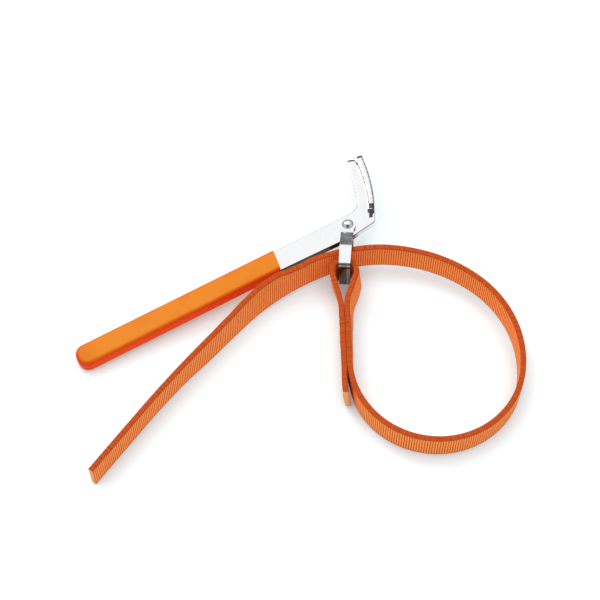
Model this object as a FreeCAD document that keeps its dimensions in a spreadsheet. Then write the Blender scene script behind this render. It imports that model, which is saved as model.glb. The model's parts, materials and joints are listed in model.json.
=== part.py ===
# Strap wrench for oil filters: a flat steel lever with a toothed cam jaw and a vinyl
# grip, a bent steel link hung on a rivet, and a length of webbing that is sewn round
# the link, runs round the filter and comes back through the link as a free tail.
import FreeCAD, Part
import math
import os
import Sketcher
from FreeCAD import Placement, Rotation, Vector

os.makedirs("parts", exist_ok=True)
doc = FreeCAD.newDocument("filter_wrench")

# ---------------------------------------------------------------- sizes, millimetres and degrees
SIZES = [
    ("plate_thick", 5.0, "lever plate"),
    ("plate_edge", 0.6, "rounding of the plate's polished edges"),
    ("bar_top", 7.4, "bar's upper edge above the rivet line"),
    ("bar_low_grip", 6.9, "bar's lower edge below the rivet line, at the grip"),
    ("bar_low_knee", 8.0, "the same at the knee below the rivet"),
    ("knee_ahead", 0.6, "knee ahead of the rivet"),
    ("throat_ahead", 13.0, "corner of the throat ahead of the rivet"),
    ("throat_angle", 73.5, "jaw's inner edge against the bar"),
    ("throat_round", 10.7, "round in the throat"),
    ("jaw_long", 37.0, "jaw's inner edge, corner to tip"),
    ("tip_drop", 20.0, "slope of the jaw's end edge"),
    ("cam_ahead", 21.1, "foot of the cam ahead of the rivet"),
    ("cam_above", 2.45, "foot of the cam above the rivet line"),
    ("cam_angle", -26.6, "direction the cam faces at its foot"),
    ("cam_radius", 110.0, "curve of the toothed face"),
    ("cam_arc", 37.2, "toothed face, end to end"),
    ("cam_high", 18.0, "cam shoe, side to side"),
    ("cam_thick", 3.6, "cam shoe wall"),
    ("heel_arc", 9.4, "plate behind the cam's foot"),
    ("tooth_pitch", 2.0, "teeth"),
    ("tooth_deep", 0.9, "teeth"),
    ("slot_wide", 3.1, "relief slot at the cam's foot"),
    ("slot_long", 6.4, "the same, along the edge"),
    ("slot_margin", 1.6, "metal left outside the slot"),
    ("grip_end", 188.8, "grip's end behind the rivet"),
    ("mouth_back", 50.7, "grip's mouth behind the rivet"),
    ("mouth_slant", 8.5, "mouth against a square cut"),
    ("grip_thick", 10.2, "grip"),
    ("grip_proud", 0.45, "grip outside the bar's edges"),
    ("grip_corner", 6.5, "corners of the grip's end"),
    ("grip_round", 3.0, "rounding along the grip"),
    ("tang_wide", 11.4, "steel inside the grip"),
    ("tang_cover", 3.0, "vinyl beyond the tang's end"),
    ("rivet_shank", 2.2, "rivet shank radius"),
    ("rivet_head", 3.6, "rivet head radius"),
    ("rivet_dome", 1.7, "rivet head height"),
    ("running_gap", 0.05, "rivet in the lever's hole, radial"),
    ("side_gap", 0.3, "link's eyes beside the lever"),
    ("link_thick", 2.0, "link strip"),
    ("web_gap", 1.0, "webbing's edges inside the link"),
    ("link_long", 35.0, "rivet to the outside of the link's base"),
    ("eye_round", 5.1, "eye radius"),
    ("neck_wide", 8.0, "link beside the eye"),
    ("base_wide", 7.0, "link at its base"),
    ("web_lap", 1.1, "link's flat starts this far under the webbing's near face"),
    ("slope_bend", 5.0, "bend radius of the link's shoulders, middle of the strip"),
    ("slope_angle", 30.0, "slope of the link's shoulders"),
    ("base_bend", 2.4, "bend radius at the base, middle of the strip"),
    ("link_turn", 4.1, "link against straight down"),
    ("strap_wide", 20.0, "webbing width"),
    ("strap_thick", 3.4, "webbing thickness"),
    ("seam_gap", 0.1, "between the two sewn thicknesses"),
    ("seam_x", -2.15, "seam line beside the rivet"),
    ("sling_slack", 1.0, "sling's middle beyond the link's base"),
    ("sling_x", -0.8, "sling's middle beside the seam line"),
    ("sling_inside", 5.9, "inside radius of the sling"),
    ("sling_flare", 17.0, "slope of the two thicknesses into the sling"),
    ("sling_blend", 22.0, "bend from that slope into the seam"),
    ("tail_end_back", 118.3, "sewn end below the rivet"),
    ("loop_round", 52.0, "filter side of the loop, middle of the webbing"),
    ("loop_turn", 170.1, "the same, degrees of turn"),
    ("shoulder_round", 68.8, "loop's shoulder"),
    ("shoulder_turn", 61.3, "loop's shoulder"),
    ("pass_gap", 2.88, "webbing through the link, clear of the sling"),
    ("pass_angle", 13.4, "slope of the webbing through the link"),
    ("pass_run", 13.0, "webbing held straight beyond the link"),
    ("tail_round", 127.4, "tail below the lever"),
    ("tail_turn", 33.0, "tail below the lever"),
    ("tail_ease_round", 790.0, "tail's outer half"),
    ("tail_ease_turn", 6.9, "tail's outer half"),
    ("tail_straight", 46.3, "tail's straight end"),
    ("flex_gap", 0.3, "between the loop's end and the tail"),
    ("thread", 0.8, "sewing thread"),
    ("stitch", 3.0, "stitch length"),
    ("seam_clear", 7.0, "seam's end left unsewn"),
    ("handle_turn", 28.7, "lever against the X axis"),
]

STITCH_ROWS = 4

sheet = doc.addObject("Spreadsheet::Sheet", "Sizes")
for row, (alias, value, note) in enumerate(SIZES, start=1):
    sheet.set("A%d" % row, alias)
    sheet.set("B%d" % row, str(value))
    sheet.set("C%d" % row, note)
    sheet.setAlias("B%d" % row, alias)
doc.recompute()


def size(alias):
    return float(sheet.get(alias))


def sind(angle):
    return math.sin(math.radians(angle))


def cosd(angle):
    return math.cos(math.radians(angle))


# the link is as high as it must be to take the webbing on edge
LINK_HIGH = "(Sizes.strap_wide + 2 * Sizes.web_gap + 2 * Sizes.link_thick)"
link_high = size("strap_wide") + 2 * size("web_gap") + 2 * size("link_thick")
# down the link from the rivet: the sling's middle, then where the webbing passes through
sling_drop = size("link_long") + size("sling_slack")
sling_round = size("sling_inside") + size("strap_thick") / 2
pass_drop = sling_drop - sling_round - size("pass_gap") - size("strap_thick")

# ---------------------------------------------------------------- drawing helpers
def new_body(label):
    body = doc.addObject("PartDesign::Body", label)
    body.Label = label
    return body


def datum(body, role):
    return [f for f in body.Origin.OriginFeatures if f.Role == role][0]


def new_sketch(body, name, plane="XY_Plane", lift=None):
    """A sketch on one of the body's own planes, lifted off it by an expression."""
    sketch = body.newObject("Sketcher::SketchObject", name)
    sketch.AttachmentSupport = [(datum(body, plane), "")]
    sketch.MapMode = "FlatFace"
    if lift:
        sketch.setExpression("AttachmentOffset.Base.z", lift)
    return sketch


def pad(body, sketch, length):
    feature = body.newObject("PartDesign::Pad", sketch.Name + "_pad")
    feature.Profile = sketch
    feature.setExpression("Length", length)
    body.Tip = feature
    sketch.Visibility = False
    doc.recompute()
    return feature


def pocket(body, sketch, length):
    feature = body.newObject("PartDesign::Pocket", sketch.Name + "_pocket")
    feature.Profile = sketch
    feature.setExpression("Length", length)
    body.Tip = feature
    sketch.Visibility = False
    doc.recompute()
    return feature


def upright_edges(feature, corners, tol=0.02):
    """Names of the edges that stand on the given plan corners."""
    names = []
    for number, edge in enumerate(feature.Shape.Edges, start=1):
        ends = [v.Point for v in edge.Vertexes]
        if len(ends) != 2 or abs(ends[0].z - ends[1].z) < tol:
            continue
        for corner in corners:
            if all(math.hypot(p.x - corner[0], p.y - corner[1]) < tol for p in ends):
                names.append("Edge%d" % number)
    return names


def fillet(body, base, edges, radius):
    feature = body.newObject("PartDesign::Fillet", "round_%d" % len(body.Group))
    feature.Base = (base, edges)
    feature.setExpression("Radius", radius)
    body.Tip = feature
    doc.recompute()
    return feature


def line(a, b):
    return Part.LineSegment(Vector(a[0], a[1], 0), Vector(b[0], b[1], 0))


def arc(centre, radius, start, end):
    """Arc from one direction to the other, degrees, anticlockwise."""
    circle = Part.Circle(Vector(centre[0], centre[1], 0), Vector(0, 0, 1), radius)
    return Part.ArcOfCircle(circle, math.radians(start), math.radians(end))


def polygon(points):
    return [line(a, b) for a, b in zip(points, points[1:] + points[:1])]


def polar(centre, radius, angle):
    return (centre[0] + radius * cosd(angle), centre[1] + radius * sind(angle))


class Route:
    """A flat route of straight runs and tangent arcs, drawn with a given thickness."""

    def __init__(self, start, heading):
        self.point = start
        self.heading = heading
        self.runs = []

    def straight(self, length):
        end = polar(self.point, length, self.heading)
        self.runs.append(("straight", self.point, end, self.heading))
        self.point = end
        return self

    def bend(self, radius, turn):
        """Left for a positive turn, right for a negative one."""
        side = 1 if turn > 0 else -1
        centre = polar(self.point, radius, self.heading + 90 * side)
        start = self.heading - 90 * side
        self.runs.append(("bend", centre, radius, start, turn))
        self.point = polar(centre, radius, start + turn)
        self.heading += turn
        return self

    def side(self, offset):
        """The edge that lies to the left of the route by the offset."""
        edges = []
        for run in self.runs:
            if run[0] == "straight":
                shift = (-offset * sind(run[3]), offset * cosd(run[3]))
                a = (run[1][0] + shift[0], run[1][1] + shift[1])
                b = (run[2][0] + shift[0], run[2][1] + shift[1])
                edges.append(line(a, b))
            else:
                _, centre, radius, start, turn = run
                reach = radius - offset if turn > 0 else radius + offset
                low, high = min(start, start + turn), max(start, start + turn)
                edges.append(arc(centre, reach, low, high))
        return edges

    def caps(self, half):
        kind, first = self.runs[0][0], self.runs[0]
        if kind == "straight":
            begin, heading = first[1], first[3]
        else:
            begin = polar(first[1], first[2], first[3])
            heading = first[3] + (90 if first[4] > 0 else -90)
        out = []
        for point, way in ((begin, heading), (self.point, self.heading)):
            out.append((polar(point, half, way + 90), polar(point, half, way - 90)))
        return out

    def length(self):
        total = 0
        for run in self.runs:
            if run[0] == "straight":
                total += math.hypot(run[2][0] - run[1][0], run[2][1] - run[1][1])
            else:
                total += run[2] * math.radians(abs(run[4]))
        return total

    def outline(self, thickness, round_end=False):
        half = thickness / 2
        (start_left, start_right), (end_left, end_right) = self.caps(half)
        edges = self.side(half) + self.side(-half)
        edges.append(line(start_left, start_right))
        if round_end:
            edges.append(arc(self.point, half, self.heading - 90, self.heading + 90))
        else:
            edges.append(line(end_left, end_right))
        return edges


# ---------------------------------------------------------------- where the pieces sit
# The tool lies on a table: the link's base and the grip's end touch it, so the lever
# leans down towards the grip, and the webbing leans the other way by a little.
LEVER_LEAN = math.degrees(math.asin(
    (link_high - size("grip_thick")) / 2 / (size("grip_end") - size("link_long") / 2)))
base_drop = size("link_long") * sind(size("handle_turn")) * sind(LEVER_LEAN)
LEVER_HIGH = link_high / 2 + base_drop
lever_frame = Placement(Vector(0, 0, LEVER_HIGH), Rotation(Vector(0, 0, 1), size("handle_turn")))
lever_frame = lever_frame.multiply(Placement(Vector(), Rotation(Vector(0, 1, 0), -LEVER_LEAN)))
link_frame = lever_frame.multiply(Placement(
    Vector(), Rotation(Vector(0, 0, 1), -size("link_turn") - size("handle_turn"))))

strap_lift = link_high / 2 - size("strap_wide") / 2 + base_drop / 3
STRAP_LEAN = math.degrees(math.asin(strap_lift / 143.0))
STRAP_HIGH = strap_lift + size("strap_wide") / 2 + 25.0 * sind(STRAP_LEAN)
strap_frame = Placement(Vector(0, 0, STRAP_HIGH), Rotation(Vector(1, 0, 0), STRAP_LEAN))

# ---------------------------------------------------------------- shared lever points
cam_foot = (size("cam_ahead"), size("cam_above"))
cam_centre = polar(cam_foot, -size("cam_radius"), size("cam_angle"))
cam_sweep = math.degrees(size("cam_arc") / size("cam_radius"))
cam_inside = size("cam_radius") - size("cam_thick")
cam_frame = lever_frame.multiply(Placement(Vector(cam_centre[0], cam_centre[1], 0), Rotation()))


def mouth_at(y):
    """The slanted mouth of the grip, at a height across the bar."""
    return (-size("mouth_back") + y * sind(size("mouth_slant")), y)


# ---------------------------------------------------------------- the pieces
def make_lever_plate():
    body = new_body("lever_plate")
    tang = size("tang_wide") / 2
    tang_end = -size("grip_end") + size("tang_cover")
    heel_angle = size("cam_angle") - math.degrees(size("heel_arc") / size("cam_radius"))
    heel = polar(cam_centre, size("cam_radius"), heel_angle)
    step_out = polar(cam_centre, size("cam_radius"), size("cam_angle"))
    step_in = polar(cam_centre, cam_inside, size("cam_angle"))
    throat = (size("throat_ahead"), size("bar_top"))
    tip_in = polar(throat, size("jaw_long"), size("throat_angle"))
    # the end edge slopes down from the tip until it meets the cam's inner curve
    dx, dy = cosd(size("tip_drop")), -sind(size("tip_drop"))
    rx, ry = tip_in[0] - cam_centre[0], tip_in[1] - cam_centre[1]
    along = rx * dx + ry * dy
    reach = -along + math.sqrt(along * along - (rx * rx + ry * ry - cam_inside ** 2))
    tip_out = (tip_in[0] + reach * dx, tip_in[1] + reach * dy)
    tip_angle = math.degrees(math.atan2(tip_out[1] - cam_centre[1], tip_out[0] - cam_centre[0]))
    knee = (size("knee_ahead"), -size("bar_low_knee"))
    low_mouth = mouth_at(-size("bar_low_grip"))
    top_mouth = mouth_at(size("bar_top"))
    straight = [
        (tang_end, tang), (tang_end, -tang), mouth_at(-tang), low_mouth, knee, heel,
    ]
    edges = [line(a, b) for a, b in zip(straight, straight[1:])]
    edges.append(arc(cam_centre, size("cam_radius"), heel_angle, size("cam_angle")))
    edges.append(line(step_out, step_in))
    edges.append(arc(cam_centre, cam_inside, size("cam_angle"), tip_angle))
    upper = [tip_out, tip_in, throat, top_mouth, mouth_at(tang), (tang_end, tang)]
    edges += [line(a, b) for a, b in zip(upper, upper[1:])]

    outline = new_sketch(body, "plate_outline", lift="-Sizes.plate_thick / 2")
    outline.addGeometry(edges, False)
    plate = pad(body, outline, "Sizes.plate_thick")
    plate = fillet(body, plate, upright_edges(plate, [throat]), "Sizes.throat_round")
    plate = fillet(body, plate, upright_edges(plate, [tip_out, heel]), "Sizes.tooth_pitch")
    plate = fillet(body, plate, upright_edges(plate, [tip_in]), "Sizes.plate_edge * 2")

    holes = new_sketch(body, "plate_holes", lift="Sizes.plate_thick / 2 + 1")
    holes.addGeometry(Part.Circle(Vector(), Vector(0, 0, 1), size("rivet_shank")), False)
    holes.addConstraint(Sketcher.Constraint("Coincident", 0, 3, -1, 1))
    holes.addConstraint(Sketcher.Constraint("Radius", 0, size("rivet_shank") + 0.01))
    holes.setExpression("Constraints[1]", "Sizes.rivet_shank + Sizes.running_gap")
    # the slot runs along the edge from the cam's foot, a little inside it
    run = size("cam_angle") - 90
    outer = polar(polar(cam_foot, -size("slot_margin"), size("cam_angle")), 0.0, run)
    inner = polar(outer, -size("slot_wide"), size("cam_angle"))
    corners = [outer, polar(outer, size("slot_long"), run),
               polar(inner, size("slot_long"), run), inner]
    holes.addGeometry(polygon(corners), False)
    plate = pocket(body, holes, "Sizes.plate_thick + 2")
    plate = fillet(body, plate, upright_edges(plate, corners[1:3]), "Sizes.plate_edge * 1.5")

    rim = []
    for number, edge in enumerate(plate.Shape.Edges, start=1):
        box = edge.BoundBox
        flat = box.ZLength < 0.01 and abs(abs(box.ZMax) - size("plate_thick") / 2) < 0.01
        middle = edge.valueAt((edge.FirstParameter + edge.LastParameter) / 2)
        on_tang = middle.x < mouth_at(middle.y)[0] + 0.5
        by_cam = abs(math.hypot(middle.x - cam_centre[0], middle.y - cam_centre[1])
                     - cam_inside) < 0.05
        by_cam = by_cam or (Vector(*step_out, middle.z) - middle).Length < size("cam_thick")
        hole = middle.sub(Vector(0, 0, middle.z)).Length < size("eye_round")
        slot_middle = [sum(c[i] for c in corners) / 4 for i in (0, 1)]
        in_slot = math.hypot(middle.x - slot_middle[0], middle.y - slot_middle[1]) < 4.2
        if flat and not (on_tang or by_cam or hole or in_slot):
            rim.append("Edge%d" % number)
    fillet(body, plate, rim, "Sizes.plate_edge")
    body.Placement = lever_frame
    return body


def make_jaw_shoe():
    """The toothed cam, drawn about the centre of its own curve."""
    body = new_body("jaw_shoe")
    low, high = size("cam_angle"), size("cam_angle") + cam_sweep
    band = new_sketch(body, "shoe_band", lift="-Sizes.cam_high / 2")
    band.addGeometry([
        arc((0, 0), size("cam_radius"), low, high),
        line(polar((0, 0), size("cam_radius"), high), polar((0, 0), cam_inside, high)),
        arc((0, 0), cam_inside, low, high),
        line(polar((0, 0), cam_inside, low), polar((0, 0), size("cam_radius"), low)),
    ], False)
    shoe = pad(body, band, "Sizes.cam_high")
    corners = [polar((0, 0), size("cam_radius"), a) for a in (low, high)]
    shoe = fillet(body, shoe, upright_edges(shoe, corners), "Sizes.tooth_deep")

    pitch = math.degrees(size("tooth_pitch") / size("cam_radius"))
    count = int(cam_sweep / pitch) - 1
    first = low + (cam_sweep - (count - 1) * pitch) / 2
    groove = new_sketch(body, "tooth_groove", lift="Sizes.cam_high / 2 + 1")
    top = size("cam_radius") + 0.4
    half = pitch * 0.46
    bottom = polar((0, 0), size("cam_radius") - size("tooth_deep"), first)
    groove.addGeometry(polygon([
        polar((0, 0), top, first - half), bottom, polar((0, 0), top, first + half)]), False)
    cut = pocket(body, groove, "Sizes.cam_high + 2")
    teeth = body.newObject("PartDesign::PolarPattern", "teeth")
    teeth.Originals = [cut]
    teeth.Axis = (datum(body, "Z_Axis"), [""])
    teeth.Angle = pitch * (count - 1)
    teeth.Occurrences = count
    body.Tip = teeth
    doc.recompute()
    body.Placement = cam_frame
    return body


def make_grip():
    body = new_body("grip")
    top = size("bar_top") + size("grip_proud")
    low = -size("bar_low_grip") - size("grip_proud")
    end = -size("grip_end")
    corners = [(end, top), (end, low), mouth_at(low), mouth_at(top)]
    outline = new_sketch(body, "grip_outline", lift="-Sizes.grip_thick / 2")
    outline.addGeometry(polygon(corners), False)
    sleeve = pad(body, outline, "Sizes.grip_thick")
    sleeve = fillet(body, sleeve, upright_edges(sleeve, corners[:2]), "Sizes.grip_corner")
    rim = []
    for number, edge in enumerate(sleeve.Shape.Edges, start=1):
        box = edge.BoundBox
        middle = edge.valueAt((edge.FirstParameter + edge.LastParameter) / 2)
        at_mouth = abs(middle.x - mouth_at(middle.y)[0]) < 0.1
        if box.ZLength < 0.01 and not at_mouth:
            rim.append("Edge%d" % number)
    sleeve = fillet(body, sleeve, rim, "Sizes.grip_round")

    tang = size("tang_wide") / 2
    tang_end = end + size("tang_cover")
    hollow = new_sketch(body, "tang_hollow", lift="Sizes.plate_thick / 2")
    hollow.addGeometry(polygon([
        (tang_end, tang), (tang_end, -tang), mouth_at(-tang), mouth_at(tang)]), False)
    pocket(body, hollow, "Sizes.plate_thick")
    body.Placement = lever_frame
    return body


def make_pivot_rivet():
    """Turned about its own axis: shank and two domed heads."""
    body = new_body("pivot_rivet")
    seat = size("plate_thick") / 2 + size("side_gap") + size("link_thick")
    head, shank, dome = size("rivet_head"), size("rivet_shank"), size("rivet_dome")
    reach = (head ** 2 + dome ** 2) / (2 * dome)
    open_angle = math.degrees(math.asin(head / reach))
    upper = (0, seat + dome - reach)
    lower = (0, -upper[1])
    profile = new_sketch(body, "rivet_profile", "XZ_Plane")
    profile.addGeometry([
        arc(upper, reach, 90 - open_angle, 90),
        line((head, seat), (shank, seat)),
        line((shank, seat), (shank, -seat)),
        line((shank, -seat), (head, -seat)),
        arc(lower, reach, -90, -90 + open_angle),
        line((0, -seat - dome), (0, seat + dome)),
    ], False)
    turned = body.newObject("PartDesign::Revolution", "rivet_turned")
    turned.Profile = profile
    turned.ReferenceAxis = (profile, ["V_Axis"])
    turned.Angle = 360
    body.Tip = turned
    doc.recompute()
    body.Placement = link_frame
    return body


def link_route():
    """The bent strip seen from its side: eye, shoulder, flat, base and back."""
    eye_level = size("plate_thick") / 2 + size("side_gap") + size("link_thick") / 2
    flat_level = (link_high - size("link_thick")) / 2
    bend, angle, base = size("slope_bend"), size("slope_angle"), size("base_bend")
    rise = flat_level - eye_level - 2 * bend * (1 - cosd(angle))
    slope = rise / sind(angle)
    shoulder_run = 2 * bend * sind(angle) + slope * cosd(angle)
    flat_start = pass_drop - size("strap_thick") / 2 + size("web_lap")
    eye_run = size("eye_round") + flat_start - shoulder_run
    flat_run = size("link_long") - size("link_thick") / 2 - base - flat_start
    route = Route((size("eye_round"), eye_level), 180)
    route.straight(eye_run).bend(bend, -angle).straight(slope).bend(bend, angle)
    route.straight(flat_run).bend(base, 90).straight(2 * (flat_level - base)).bend(base, 90)
    route.straight(flat_run).bend(bend, angle).straight(slope).bend(bend, -angle)
    return route.straight(eye_run)


def make_link():
    """A strip bent into a U, its ends rounded into eyes and its sides drawn in to the base."""
    body = new_body("link")
    strip = new_sketch(body, "link_strip", "YZ_Plane", lift="-Sizes.eye_round - 1")
    strip.addGeometry(link_route().outline(size("link_thick")), False)
    blank = pad(body, strip, "2 * Sizes.eye_round + 2")

    # plan of the finished strip: eye, neck, then straight sides down to the base
    eye, neck, foot = size("eye_round"), size("neck_wide") / 2, size("base_wide") / 2
    neck_y = -math.sqrt(eye ** 2 - neck ** 2)
    foot_y = -size("link_long") - 2
    neck_angle = math.degrees(math.atan2(neck_y, neck))
    far = eye + 4
    trim = new_sketch(body, "link_trim", lift=LINK_HIGH + " / 2 + 1")
    trim.addGeometry(polygon([
        (-far, eye + 3), (-far, foot_y - 1), (far, foot_y - 1), (far, eye + 3)]), False)
    trim.addGeometry([
        arc((0, 0), eye, neck_angle, 180 - neck_angle),
        line((-neck, neck_y), (-foot, foot_y)),
        line((-foot, foot_y), (foot, foot_y)),
        line((foot, foot_y), (neck, neck_y)),
    ], False)
    cut = pocket(body, trim, LINK_HIGH + " + 2")

    hole = new_sketch(body, "link_eyes", lift=LINK_HIGH + " / 2 + 1")
    hole.addGeometry(Part.Circle(Vector(), Vector(0, 0, 1), 1.0), False)
    hole.addConstraint(Sketcher.Constraint("Coincident", 0, 3, -1, 1))
    hole.addConstraint(Sketcher.Constraint("Radius", 0, size("rivet_shank") + 0.01))
    hole.setExpression("Constraints[1]", "Sizes.rivet_shank")
    pocket(body, hole, LINK_HIGH + " + 2")
    body.Placement = link_frame
    return body, blank, cut


def loop_route():
    """From the sewn end up round the link's base, down the seam and round the filter."""
    gap = (size("strap_thick") + size("seam_gap")) / 2
    seam_x = size("seam_x")
    centre = (seam_x + size("sling_x"), -sling_drop)
    flare, blend, sling = size("sling_flare"), size("sling_blend"), sling_round
    # each slope touches the sling above and the bend into the seam below
    runs, tops = [], []
    for side, touch in ((-1, 180 + flare), (1, -flare)):
        top = polar(centre, sling, touch)
        across = side * (top[0] - seam_x) - gap - blend * (1 - cosd(flare))
        runs.append(across / sind(flare))
        tops.append(top[1] - runs[-1] * cosd(flare) - blend * sind(flare))

    # three arcs lead from the seam back to the link; the last one's radius and the seam's
    # end are what closes the loop there
    first, second = size("loop_round"), size("shoulder_round")
    ways = [-90, -90 + size("loop_turn")]
    ways += [ways[1] + size("shoulder_turn"), 180 + size("pass_angle")]
    start_x = seam_x + gap
    sines = [sind(b) - sind(a) for a, b in zip(ways, ways[1:])]
    cosines = [cosd(b) - cosd(a) for a, b in zip(ways, ways[1:])]
    third = (-start_x - first * sines[0] - second * sines[1]) / sines[2]
    seam_end = -pass_drop + sum(r * c for r, c in zip((first, second, third), cosines))

    route = Route((seam_x - gap, -size("tail_end_back")), 90)
    route.straight(tops[0] + size("tail_end_back")).bend(blend, flare).straight(runs[0])
    route.bend(sling, -180 - 2 * flare)
    route.straight(runs[1]).bend(blend, flare).straight(tops[1] - seam_end)
    for radius, start, end in zip((first, second, third), ways, ways[1:]):
        route.bend(radius, end - start)
    route.bend(size("tail_round"), math.degrees(size("pass_run") / size("tail_round")))
    return route, min(tops), seam_end


def make_strap_loop():
    body = new_body("strap_loop")
    route, _, _ = loop_route()
    web = new_sketch(body, "loop_web", lift="-Sizes.strap_wide / 2")
    web.addGeometry(route.outline(size("strap_thick"), round_end=True), False)
    pad(body, web, "Sizes.strap_wide")
    body.Placement = strap_frame
    return body


def make_strap_tail():
    """The rest of the webbing, from just past the link to its free end."""
    body = new_body("strap_tail")
    before, _, _ = loop_route()
    skip = size("strap_thick") / 2 + size("flex_gap")
    skip_turn = math.degrees(skip / size("tail_round"))
    lead = Route(before.point, before.heading).bend(size("tail_round"), skip_turn)
    route = Route(lead.point, lead.heading)
    used_turn = math.degrees((size("pass_run") + skip) / size("tail_round"))
    route.bend(size("tail_round"), size("tail_turn") - used_turn)
    route.bend(size("tail_ease_round"), size("tail_ease_turn")).straight(size("tail_straight"))
    web = new_sketch(body, "tail_web", lift="-Sizes.strap_wide / 2")
    web.addGeometry(route.outline(size("strap_thick")), False)
    pad(body, web, "Sizes.strap_wide")
    body.Placement = strap_frame
    print("tail length %.1f mm" % route.length())
    return body


def make_stitching():
    """Rows of running stitch through both thicknesses, drawn as one stitch and repeated."""
    body = new_body("stitching")
    _, seam_y, seam_end = loop_route()
    thread, step = size("thread"), size("stitch")
    face = size("strap_thick") + size("seam_gap") / 2
    proud = face + thread * 0.45
    sunk = face - thread * 0.55
    points = [
        (-proud, 0), (-proud, -step - thread), (sunk, -step - thread), (sunk, -2 * step),
        (-sunk, -2 * step), (-sunk, -2 * step - thread), (proud, -2 * step - thread),
        (proud, -step), (-sunk, -step), (-sunk, 0),
    ]
    cell = new_sketch(body, "stitch_cell", lift="-Sizes.strap_wide / 2 + Sizes.stitch")
    cell.addGeometry(polygon(points), False)
    first = pad(body, cell, "Sizes.thread")
    stitches = int((seam_y - seam_end - size("seam_clear")) / (2 * step))
    down = doc.addObject("PartDesign::LinearPattern", "stitches")
    down.Direction = (datum(body, "Y_Axis"), [""])
    down.Reversed = True
    down.Length = 2 * step * (stitches - 1)
    down.Occurrences = stitches
    across = doc.addObject("PartDesign::LinearPattern", "rows")
    across.Direction = (datum(body, "Z_Axis"), [""])
    across.Length = size("strap_wide") - 2 * step - thread
    across.Occurrences = STITCH_ROWS
    whole = body.newObject("PartDesign::MultiTransform", "sewing")
    whole.Originals = [first]
    whole.Transformations = [down, across]
    body.Tip = whole
    doc.recompute()
    body.Placement = strap_frame.multiply(
        Placement(Vector(size("seam_x"), seam_y - 1, 0), Rotation()))
    return body


make_lever_plate()
make_jaw_shoe()
make_grip()
make_pivot_rivet()
make_link()
make_strap_loop()
make_strap_tail()
make_stitching()
doc.recompute()

# ---------------------------------------------------------------- settle on the origin
bodies = [o for o in doc.Objects if o.TypeId == "PartDesign::Body"]
whole = FreeCAD.BoundBox()
for body in bodies:
    whole.add(body.Shape.optimalBoundingBox(False))
home = Vector(-whole.Center.x, -whole.Center.y, -whole.ZMin)
for body in bodies:
    body.Placement = Placement(home, Rotation()).multiply(body.Placement)
doc.recompute()
print("home %.4f %.4f %.4f" % (home.x, home.y, home.z))
print("lever lean %.3f high %.3f, strap lean %.3f high %.3f" % (
    LEVER_LEAN, LEVER_HIGH, STRAP_LEAN, STRAP_HIGH))
route, seam_y, seam_end = loop_route()
print("loop route %.1f mm, ends %.3f %.3f heading %.2f, seam %.2f to %.2f" % (
    route.length(), route.point[0], route.point[1], route.heading, seam_y, seam_end))

# ---------------------------------------------------------------- check and write
for item in doc.Objects:
    if "Invalid" in item.State or "Error" in item.State:
        raise RuntimeError("%s did not compute" % item.Label)
for body in bodies:
    shape = body.Shape
    lumps = STITCH_ROWS if body.Label == "stitching" else 1
    if shape.isNull() or not shape.isValid() or len(shape.Solids) != lumps:
        raise RuntimeError("%s is not sound: %d solids" % (body.Label, len(shape.Solids)))
    print("%-12s volume %9.1f  box %s" % (body.Label, shape.Volume, [
        round(v, 2) for v in (shape.BoundBox.XMin, shape.BoundBox.YMin, shape.BoundBox.ZMin,
                              shape.BoundBox.XMax, shape.BoundBox.YMax, shape.BoundBox.ZMax)]))
    shape.exportStep("parts/%s.step" % body.Label)
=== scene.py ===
# %% [markdown]
# # A strap wrench for oil filters, seen as a catalogue shows it
# The wrench is a chrome plated lever with a toothed jaw and an orange vinyl grip. A bent
# steel link hangs from the lever on a rivet. Ribbed orange webbing is sewn round the link,
# runs round the filter and comes back through the link as a free tail.
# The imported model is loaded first: it fixes every size, place and joint, and this script
# only dresses it.

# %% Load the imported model
import json
import math

import bmesh
import bpy
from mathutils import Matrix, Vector


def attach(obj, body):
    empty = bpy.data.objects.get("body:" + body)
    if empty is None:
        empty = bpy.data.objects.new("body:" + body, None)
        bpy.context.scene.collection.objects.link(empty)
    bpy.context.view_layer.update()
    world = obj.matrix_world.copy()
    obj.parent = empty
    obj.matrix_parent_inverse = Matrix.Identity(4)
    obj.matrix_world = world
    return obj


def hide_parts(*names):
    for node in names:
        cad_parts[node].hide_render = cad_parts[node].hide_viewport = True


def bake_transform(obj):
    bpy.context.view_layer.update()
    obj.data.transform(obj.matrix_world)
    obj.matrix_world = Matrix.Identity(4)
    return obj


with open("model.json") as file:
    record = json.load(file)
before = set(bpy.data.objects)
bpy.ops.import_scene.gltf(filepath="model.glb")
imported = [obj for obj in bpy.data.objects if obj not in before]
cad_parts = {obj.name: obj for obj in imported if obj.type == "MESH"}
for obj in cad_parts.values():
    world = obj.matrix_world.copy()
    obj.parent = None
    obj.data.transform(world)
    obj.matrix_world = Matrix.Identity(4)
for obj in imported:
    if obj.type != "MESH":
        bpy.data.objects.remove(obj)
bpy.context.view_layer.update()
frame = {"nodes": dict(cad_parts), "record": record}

MM = 0.001
scene = bpy.context.scene

# %% [markdown]
# ## The route of the webbing
# The webbing stands on edge, so its route is a flat curve in one plane. The swivel joint
# gives that plane: its point is the middle of the sling that is sewn round the link, and
# its axis is the plane's normal. The route is drawn as a designer draws it, as straight
# runs and tangent arcs, each with a radius and a turn. A list of points would do too, but
# it would show flats on the big arc.

# %% The webbing's plane and its driving sizes, in millimetres and degrees
joints = {joint["name"]: joint for joint in frame["record"]["behaviour"]["joints"]}
sling_centre = Vector(joints["strap_swivel"]["pos_m"])
plane_up = Vector(joints["strap_swivel"]["axis"])
plane_right = Vector((1, 0, 0))
plane_ahead = plane_up.cross(plane_right).normalized()

WEB_WIDE = 20.0
WEB_THICK = 3.4
# the seam, where two thicknesses lie side by side below the sling
SEWN_APART = 0.1
SEAM_BESIDE = 0.8
SEWN_END_BELOW = 82.3
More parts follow.
